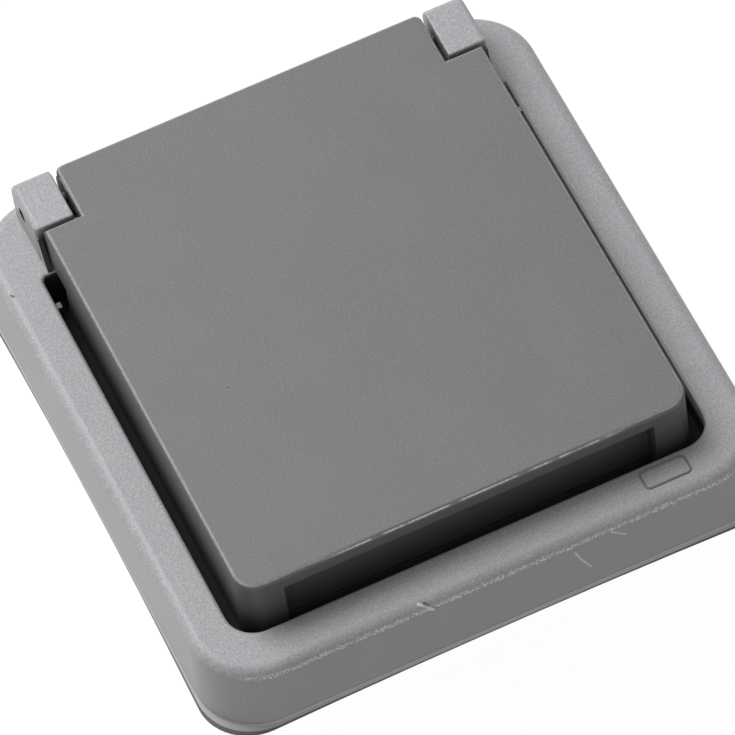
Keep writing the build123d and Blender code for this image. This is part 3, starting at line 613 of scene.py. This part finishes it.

# Painted shade deep in the well, in the gap round the lid and under its finger recess, near black. It begins
# lower down on the right wall.
shade_drop = 2.6
shade_level = calc(frame_paint, "MULTIPLY_ADD", right_wall, shade_drop * MM, frame_place["Z"])
deep = fade(frame_paint, shade_level, (band_top - 0.05) * MM, (band_top - 1.0) * MM, 0.0, 0.97)
within_x = fade(frame_paint, from_middle_x, (well_half + 0.3) * MM, (well_half + 0.1) * MM)
gap_beside = fade(frame_paint, from_middle_x, (well_half - 4.5) * MM, (well_half - 2.5) * MM)
gap_ends = fade(frame_paint, from_middle_y, (well_half_y - 6.2) * MM, (well_half_y - 4.2) * MM)
in_the_gap = largest(frame_paint, gap_beside, gap_ends)
well_painted_shade = product(frame_paint, deep, within_x, within_y, in_the_gap)
frame_colour = tint(frame_paint, well_painted_shade, frame_colour, (0.01, 0.009, 0.008))
set_skin(frame_grey, "Base Color", frame_colour)
frame_sheen = calc(frame_paint, "MULTIPLY_ADD", frame_grained, 0.02, 0.41)
set_skin(frame_grey, "Roughness", calc(frame_paint, "MULTIPLY_ADD", well_painted_shade, 0.5, frame_sheen))
frame_bumps = relief(frame_paint, calc(frame_paint, "MULTIPLY", frame_grain, frame_grained), 0.035)
frame_marks = calc(frame_paint, "SUBTRACT", bright_marks, dark_marks)
set_skin(frame_grey, "Normal", relief(frame_paint, frame_marks, 0.05, frame_bumps))
dress(frame_grey, "cover_frame")


# Rating field: a fine raised line round a small bare field on the frame's front band.
# It comes out of the mould with the frame, and the field inside it is left plain.
field_tree, field = sized_tree("outlined_field", ("Breadth", "Length", "Corner", "Bead", "Finish"))
field_line = rounded_line(field_tree, field["Breadth"], field["Length"], field["Corner"], 6)
field_line = swept(field_tree, field_line, round_bead(field_tree, field["Bead"], 10), 0.0)
close_tree(field_tree, field_line, field["Finish"])
# The line is painted darker than the frame, as painted shade along the raised bead.
field_line_grey = finish("moulded_line_grey")
field_paint = field_line_grey.node_tree
field_cloud = mottle(field_paint, 0.4, 3.0)
field_colour = tint(field_paint, field_cloud, (0.13, 0.13, 0.134), (0.21, 0.21, 0.215))
set_skin(field_line_grey, "Base Color", field_colour)
set_skin(field_line_grey, "Roughness", fade(field_paint, field_cloud, 0.3, 0.7, 0.34, 0.48))
set_skin(field_line_grey, "Normal", relief(field_paint, field_cloud, 0.01))
field_sizes = {"Breadth": 6.4, "Length": 2.8, "Corner": 0.6, "Bead": 0.17}
field_sizes = {label: size * MM for label, size in field_sizes.items()}
field_seed = bpy.data.meshes.new("rating_field")
field_piece = grow(field_tree, "rating_field", field_seed, {**field_sizes, "Finish": field_line_grey})
field_x = 25.7
field_y = -35.8
shift(field_piece, (field_x, field_y, band_top))
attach(field_piece, "insert")


# Cup gasket: a flat ring of the same rubber, under the cup's flange.
# It lies loose on the well's floor until the centre screw presses it flat.
cup_seal = lay_seal("cup_seal", "cup_gasket", width=2.2, corner=23.69, bead=0.18)
stand_for(cup_seal, "cup_gasket", "insert")


# Plug cup: a smooth satin moulding in grey, with two pin holes, guide ribs and slots for the earth clips.
# The centre screw clamps it through the frame's floor on the insert.
cup_grey = finish("satin_cup_grey")
cup_paint = cup_grey.node_tree
cup_cloud = fade(cup_paint, mottle(cup_paint, 5.0, 4.0), 0.3, 0.7)
set_skin(cup_grey, "Base Color", tint(cup_paint, cup_cloud, (0.325, 0.325, 0.337), (0.355, 0.355, 0.367)))
set_skin(cup_grey, "Roughness", fade(cup_paint, mottle(cup_paint, 1.2, 3.0), 0.3, 0.7, 0.33, 0.44))
set_skin(cup_grey, "Normal", relief(cup_paint, mottle(cup_paint, 0.2), 0.006))
dress(cup_grey, "socket_cup")


# Centre screw: a slotted countersunk screw of plated steel in the floor of the cup.
# It runs through the cup and the earth bracket into the base.
centre_sizes = {
    "Shank Radius": 1.6, "Shank Length": 11.4, "Thread Pitch": 0.6, "Thread Depth": 0.2,
    "Head Radius": 3.2, "Head Height": 1.6, "Head Cone": 1, "Slot Width": 0.6, "Slot Depth": 0.7,
}
centre_seat = box_mm("centre_screw")[1].z - centre_sizes["Head Height"]
centre_piece = fixings("cup_screw", [((0, 0, centre_seat), (0, 0, 1))], (1, 0, 0), centre_sizes)
stand_for(centre_piece, "centre_screw", "insert")


# Hinge axle: plain ground steel rod, blackened, pressed through both ears.
# The lid's barrel turns on it, and its ends show at the bottom of the ears' bores.
axle_steel = finish("blackened_steel", metallic=1.0)
axle_paint = axle_steel.node_tree
axle_lines = mottle(axle_paint, 0.15, 3.0, (1, 25, 25))
set_skin(axle_steel, "Base Color", tint(axle_paint, axle_lines, (0.05, 0.05, 0.052), (0.11, 0.11, 0.113)))
set_skin(axle_steel, "Roughness", fade(axle_paint, axle_lines, 0.3, 0.7, 0.38, 0.55))
set_skin(axle_steel, "Normal", relief(axle_paint, axle_lines, 0.006))
dress(axle_steel, "hinge_pin")


# Lid: a darker grey injection moulding with a fine etched grain, which turns on the steel axle.
# The top edge of its front lip is rubbed bright where fingers lift it.
lid_grey = finish("grained_lid_grey")
lid_paint = lid_grey.node_tree
lid_facing = add(lid_paint, "ShaderNodeSeparateXYZ", {0: spot(lid_paint, "Normal")}).outputs
lid_place = add(lid_paint, "ShaderNodeSeparateXYZ", {0: spot(lid_paint)}).outputs
lid_grained = fade(lid_paint, lid_facing["Z"], 0.8, 0.97)
lid_grain = mottle(lid_paint, 0.24, 2.0)
lid_cloud = fade(lid_paint, mottle(lid_paint, 12.0, 4.0), 0.3, 0.7)
lid_peak = product(lid_paint, fade(lid_paint, lid_grain, 0.5, 0.75, 0.0, 0.35), lid_grained)
lid_pit = product(lid_paint, fade(lid_paint, lid_grain, 0.5, 0.28, 0.0, 0.3), lid_grained)
lid_colour = tint(lid_paint, lid_cloud, (0.147, 0.147, 0.152), (0.157, 0.157, 0.162))
# The smooth sides and front are darker than the grained top, partly by their finish and partly as painted
# shade.
lid_colour = tint(lid_paint, lid_grained, (0.115, 0.11, 0.109), lid_colour)
lid_colour = tint(lid_paint, lid_peak, lid_colour, (0.31, 0.31, 0.32))
lid_colour = tint(lid_paint, lid_pit, lid_colour, (0.09, 0.09, 0.093))

# The stretch of the front lip that fingers lift
lip_front = fade(lid_paint, lid_place["Y"], -31.0 * MM, -31.3 * MM)
lip_centre = 1.0
from_centre = calc(lid_paint, "SUBTRACT", lid_place["X"], lip_centre * MM)
from_centre = calc(lid_paint, "ABSOLUTE", from_centre)
lip_along = fade(lid_paint, from_centre, 24.0 * MM, 15.0 * MM)
lip_stretch = product(lid_paint, lip_front, lip_along)
off_the_lip = calc(lid_paint, "SUBTRACT", 1.0, lip_stretch)

# Elsewhere round the top a painted highlight runs along the edge, broken up, and the left side is painted
# darker down into the well, as painted shade.
# Painted shade: the lid's sides are painted darker still, and are rougher.
on_the_side = fade(lid_paint, calc(lid_paint, "ABSOLUTE", lid_facing["X"]), 0.4, 0.7)
lid_colour = tint(lid_paint, on_the_side, lid_colour, (0.078, 0.076, 0.076))
edge_low = fade(lid_paint, lid_facing["Z"], 0.66, 0.78)
edge_high = fade(lid_paint, lid_facing["Z"], 0.985, 0.96)
edge_highlight_breaks = fade(lid_paint, mottle(lid_paint, 0.6, 3.0), 0.3, 0.6, 0.45, 0.9)
edge_painted_highlight = product(lid_paint, edge_low, edge_high, edge_highlight_breaks, off_the_lip)
lid_colour = tint(lid_paint, edge_painted_highlight, lid_colour, (0.32, 0.32, 0.325))
# Painted shade: the lid's left side darkens down into the well.
on_the_left = fade(lid_paint, lid_facing["X"], -0.4, -0.7)
low_down = product(lid_paint, on_the_left, fade(lid_paint, lid_place["Z"], 13.5 * MM, 5.0 * MM, 0.0, 0.55))
lid_colour = tint(lid_paint, low_down, lid_colour, (0.012, 0.011, 0.01))

# The back of the finger recess is a little paler.
in_recess = fade(lid_paint, lid_place["Y"], -30.4 * MM, -29.8 * MM)
in_recess = product(lid_paint, in_recess, fade(lid_paint, lid_facing["Y"], -0.5, -0.8))
lid_colour = tint(lid_paint, in_recess, lid_colour, (0.22, 0.205, 0.2))

# Rubbed line low on the lip's rounding, broken up along its length
lip_low = fade(lid_paint, lid_facing["Z"], 0.42, 0.52)
lip_high = fade(lid_paint, lid_facing["Z"], 0.84, 0.74)
lip_broken = fade(lid_paint, mottle(lid_paint, 1.6, 5.0, (1, 40, 40)), 0.38, 0.56, 0.2, 1.0)
lip_sparkle = fade(lid_paint, mottle(lid_paint, 0.12, 2.0, (1.5, 1, 1)), 0.35, 0.6, 0.45, 1.0)
rubbed = product(lid_paint, lip_stretch, lip_low, lip_high, lip_broken, lip_sparkle)
lid_colour = tint(lid_paint, rubbed, lid_colour, (0.85, 0.85, 0.85))

# One dark speck on the top
lid_speck = stroke(lid_paint, (-20.6, -1.6, 18.7), (-20.4, -1.7, 18.7), width=0.35)
lid_colour = tint(lid_paint, lid_speck, lid_colour, (0.03, 0.03, 0.03))
set_skin(lid_grey, "Base Color", lid_colour)
lid_sheen = calc(lid_paint, "MULTIPLY_ADD", lid_grained, 0.12, 0.34)
set_skin(lid_grey, "Roughness", calc(lid_paint, "MULTIPLY_ADD", on_the_side, 0.16, lid_sheen))
set_skin(lid_grey, "Normal", relief(lid_paint, calc(lid_paint, "MULTIPLY", lid_grain, lid_grained), 0.025))
dress(lid_grey, "hinged_lid")


# Lid gasket: a rubber ring pushed on the rib under the lid.
# Its lips close on the cup's flange and keep splashes out.
lid_seal = lay_seal("lid_seal", "lid_gasket", width=1.9, corner=23.84, bead=0.3)
stand_for(lid_seal, "lid_gasket", "lid")


# Lid spring: hard-drawn round steel wire, wound left-handed round the axle.
# One leg stands in the frame's trough, and the other presses under the lid's plate and shuts it.
wire_steel = finish("drawn_wire", metallic=1.0)
wire_paint = wire_steel.node_tree
wire_cloud = fade(wire_paint, mottle(wire_paint, 0.7, 4.0), 0.35, 0.65)
set_skin(wire_steel, "Base Color", tint(wire_paint, wire_cloud, (0.3, 0.3, 0.3), (0.46, 0.46, 0.45)))
set_skin(wire_steel, "Roughness", fade(wire_paint, wire_cloud, 0.0, 1.0, 0.34, 0.22))
set_skin(wire_steel, "Normal", relief(wire_paint, mottle(wire_paint, 0.08), 0.004))

wire_radius = 0.3
coil_radius = 1.4
coil_pitch = 0.9
coil_steps = 28
frame_leg = 4.28
lid_leg = 6.70
leg_rise = math.radians(16)
coil_low, coil_high = box_mm("lid_spring")
coil_start = coil_low.x + wire_radius
coil_turns = (coil_high.x - coil_low.x - 2 * wire_radius) / coil_pitch
coil = [Vector((coil_start, axle.y - coil_radius, axle.z - frame_leg))]
for step in range(round(coil_turns * coil_steps) + 1):
    share = step / coil_steps
    y = axle.y - coil_radius * math.cos(math.tau * share)
    z = axle.z + coil_radius * math.sin(math.tau * share)
    coil.append(Vector((coil_start + coil_pitch * share, y, z)))
coil.append(coil[-1] + Vector((0, -math.cos(leg_rise), math.sin(leg_rise))) * lid_leg)

wire_tree, wire = sized_tree("bent_wire", ("Radius", "Finish"))
wire_path = add(wire_tree, "GeometryNodeMeshToCurve", {"Mesh": wire["Geometry"]}).outputs[0]
wire_form = round_bead(wire_tree, wire["Radius"], 14)
wire_body = {"Curve": wire_path, "Profile Curve": wire_form, "Fill Caps": True}
wire_body = add(wire_tree, "GeometryNodeCurveToMesh", wire_body).outputs[0]
close_tree(wire_tree, wire_body, wire["Finish"])
coil_seed = bpy.data.meshes.new("shutting_spring")
coil_seed.from_pydata([point * MM for point in coil], [(one, one + 1) for one in range(len(coil) - 1)], [])
spring = grow(wire_tree, "shutting_spring", coil_seed, {"Radius": wire_radius * MM, "Finish": wire_steel})
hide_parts("lid_spring")
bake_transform(spring)


# Stage: a pale table top under plain soft studio light, white all round.
# It isn't part of the socket.
table_low = cad_box[0][2]
table_half = 3.0
table = bpy.data.objects.new("table", bpy.data.meshes.new("table"))
bpy.context.scene.collection.objects.link(table)
corners = [(-1, -1), (1, -1), (1, 1), (-1, 1)]
table.data.from_pydata([(x * table_half, y * table_half, table_low) for x, y in corners], [], [(0, 1, 2, 3)])
table_white = finish("table_white")
table_paint = table_white.node_tree
set_skin(table_white, "Base Color", (0.86, 0.86, 0.86, 1.0))
set_skin(table_white, "Roughness", 0.8)


def seen_directly(tree):
    """1 for what the camera sees straight, mirrored or through something clear."""
    path = add(tree, "ShaderNodeLightPath").outputs
    return largest(tree, path["Is Camera Ray"], path["Is Glossy Ray"], path["Is Transmission Ray"])


table_glow = add(table_paint, "ShaderNodeEmission", {"Color": (1, 1, 1, 1), "Strength": 1.07}).outputs[0]
table_share = product(table_paint, seen_directly(table_paint), 0.9)
table_parts = {0: table_share, 1: table_paint.nodes["Principled BSDF"].outputs[0], 2: table_glow}
table_mix = add(table_paint, "ShaderNodeMixShader", table_parts).outputs[0]
feed(table_paint, table_mix, table_paint.nodes["Material Output"].inputs[0])
table.data.materials.append(table_white)

studio = bpy.data.worlds.new("studio")
bpy.context.scene.world = studio
studio.use_nodes = True
studio_paint = studio.node_tree
room = studio_paint.nodes["Background"]
room.inputs["Color"].default_value = (1, 1, 1, 1)
room.inputs["Strength"].default_value = 0.3
backdrop = add(studio_paint, "ShaderNodeBackground", {"Color": (1, 1, 1, 1), "Strength": 1.0}).outputs[0]
studio_parts = {0: seen_directly(studio_paint), 1: room.outputs[0], 2: backdrop}
studio_mix = add(studio_paint, "ShaderNodeMixShader", studio_parts).outputs[0]
feed(studio_paint, studio_mix, studio_paint.nodes["World Output"].inputs[0])


def softbox(name, place, size, power):
    """A soft lamp that shines on the socket."""
    lamp = bpy.data.lights.new(name, "AREA")
    lamp.shape = "RECTANGLE"
    lamp.size, lamp.size_y = size
    lamp.energy = power
    holder = bpy.data.objects.new(name, lamp)
    holder.location = place
    holder.rotation_mode = "QUATERNION"
    holder.rotation_quaternion = (-Vector(place)).to_track_quat("-Z", "Y")
    bpy.context.scene.collection.objects.link(holder)


softbox("rear_softbox", place=(-0.25, 0.55, 0.8), size=(0.6, 0.6), power=7.5)
softbox("left_strip", place=(-0.7, 0.5, 0.5), size=(0.15, 0.8), power=1.0)


# Camera: a long lens above the front left corner, tilted as the photograph is.
# Its place was fitted to the edges of the lid and the frame.
camera_place = Vector((-0.179746, -0.595796, 0.903144))
camera_aim = Vector((-0.001854, -0.003214, 0.012381))
camera_tilt = math.radians(-9.44)
camera = bpy.data.objects.new("camera", bpy.data.cameras.new("camera"))
camera.data.sensor_width = 36.0
camera.data.lens = 406.24
camera.data.clip_start = 0.05
camera.data.clip_end = 20.0
camera.location = camera_place
camera.rotation_mode = "QUATERNION"
level_look = (camera_aim - camera_place).to_track_quat("-Z", "Y")
camera.rotation_quaternion = level_look @ Quaternion((0, 0, 1), camera_tilt)
bpy.context.scene.collection.objects.link(camera)
bpy.context.scene.camera = camera
bpy.context.scene.view_settings.view_transform = "Standard"
